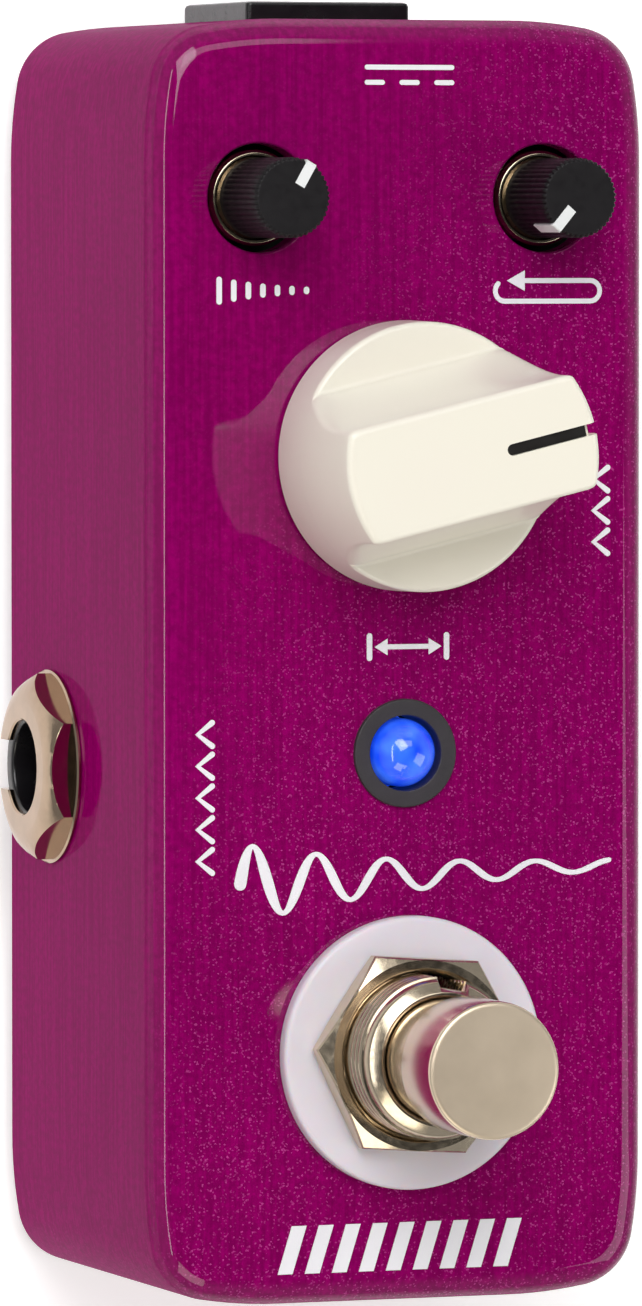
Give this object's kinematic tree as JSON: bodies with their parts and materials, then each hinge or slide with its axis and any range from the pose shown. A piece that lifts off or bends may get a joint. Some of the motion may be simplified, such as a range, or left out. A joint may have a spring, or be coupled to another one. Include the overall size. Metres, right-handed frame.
{
  "type": "guitar effects pedal",
  "caption": "Compact guitar effects pedal: die-cast case, footswitch with sprung plunger, lamp, large pointer knob, small fluted knobs, side plug sockets and a rear power socket.",
  "frame": {"origin": "centre of the rubber pad's underside, on the case's middle lines", "axes": "+Z leaves the face with the knobs, +Y points to the power socket end, +X points to the input socket side"},
  "size_m": [0.043, 0.0951, 0.052],
  "materials": {
    "case_paint": "metallic gloss lacquer",
    "plate_black": "satin black",
    "zinc": "zinc plated",
    "pad_rubber": "matt",
    "board_green": "solder mask",
    "chip_black": "moulded epoxy",
    "can_sleeve": "printed sleeve",
    "black_plastic": "moulded",
    "socket_plastic": "gloss moulded",
    "lamp_blue": "diffused epoxy",
    "tinned": "tinned",
    "nickel": "bright nickel",
    "contact_brass": "rolled",
    "switch_blue": "moulded",
    "washer_white": "nylon",
    "knob_cream": "moulded",
    "index_ink": "filled groove",
    "mark_white": "filled groove",
    "wire_red": "insulated wire",
    "header_white": "moulded",
    "spring_steel": "drawn wire",
    "phenolic": "moulded"
  },
  "bodies": {
    "root": {"enclosure": "case_paint", "bottom_plate": "plate_black", "bottom_screws": "zinc", "rubber_pad": "pad_rubber", "main_board": "board_green", "board_chips": "chip_black", "board_capacitors": "can_sleeve", "board_resistors": "chip_black", "clock_crystal": "tinned", "wire_header": "header_white", "switch_wires": "wire_red", "led_bezel": "black_plastic", "led_lens": "lamp_blue", "led_leads": "tinned", "output_jack_body": "black_plastic", "output_jack_bushing": "socket_plastic", "output_jack_nut": "nickel", "output_tip_contact": "contact_brass", "output_sleeve_contact": "contact_brass", "input_jack_body": "black_plastic", "input_jack_bushing": "socket_plastic", "input_jack_nut": "nickel", "input_tip_contact": "contact_brass", "input_sleeve_contact": "contact_brass", "power_socket_housing": "socket_plastic", "power_socket_pin": "contact_brass", "power_socket_contact": "contact_brass", "power_socket_terminals": "contact_brass", "footswitch_housing": "switch_blue", "footswitch_frame": "zinc", "footswitch_bushing": "nickel", "footswitch_nut": "nickel", "footswitch_washer": "washer_white", "footswitch_lock_nut": "zinc", "footswitch_terminals": "contact_brass", "footswitch_spring": "spring_steel", "time_pot_body": "phenolic", "time_pot_bushing": "zinc", "time_pot_nut": "zinc", "time_pot_washer": "zinc", "echo_pot_body": "phenolic", "echo_pot_bushing": "zinc", "feedback_pot_body": "phenolic", "feedback_pot_bushing": "zinc"},
    "footswitch_plunger": {"footswitch_plunger": "nickel"},
    "time_knob": {"time_knob": "knob_cream", "time_knob_index": "index_ink", "time_pot_shaft": "zinc"},
    "echo_knob": {"echo_knob": "black_plastic", "echo_knob_mark": "mark_white", "echo_pot_shaft": "zinc"},
    "feedback_knob": {"feedback_knob": "black_plastic", "feedback_knob_mark": "mark_white", "feedback_pot_shaft": "zinc"}
  },
  "joints": [
    {"name": "footswitch_press", "type": "slide", "parent": "root", "child": "footswitch_plunger", "axis": [0, 0, -1], "range_m": [0, 0.003], "stiffness_N_per_m": 1500, "springref_m": -0.0015, "deforming": ["footswitch_spring"]},
    {"name": "time_turn", "type": "hinge", "parent": "root", "child": "time_knob", "pos_m": [0, 0.01505, 0.0345], "axis": [0, 0, 1], "range_deg": [-63.4, 216.6]},
    {"name": "echo_turn", "type": "hinge", "parent": "root", "child": "echo_knob", "pos_m": [-0.01107, 0.03377, 0.0345], "axis": [0, 0, 1], "range_deg": [-110, 170]},
    {"name": "feedback_turn", "type": "hinge", "parent": "root", "child": "feedback_knob", "pos_m": [0.01107, 0.03377, 0.0345], "axis": [0, 0, 1], "range_deg": [-280, 0]}
  ]
}
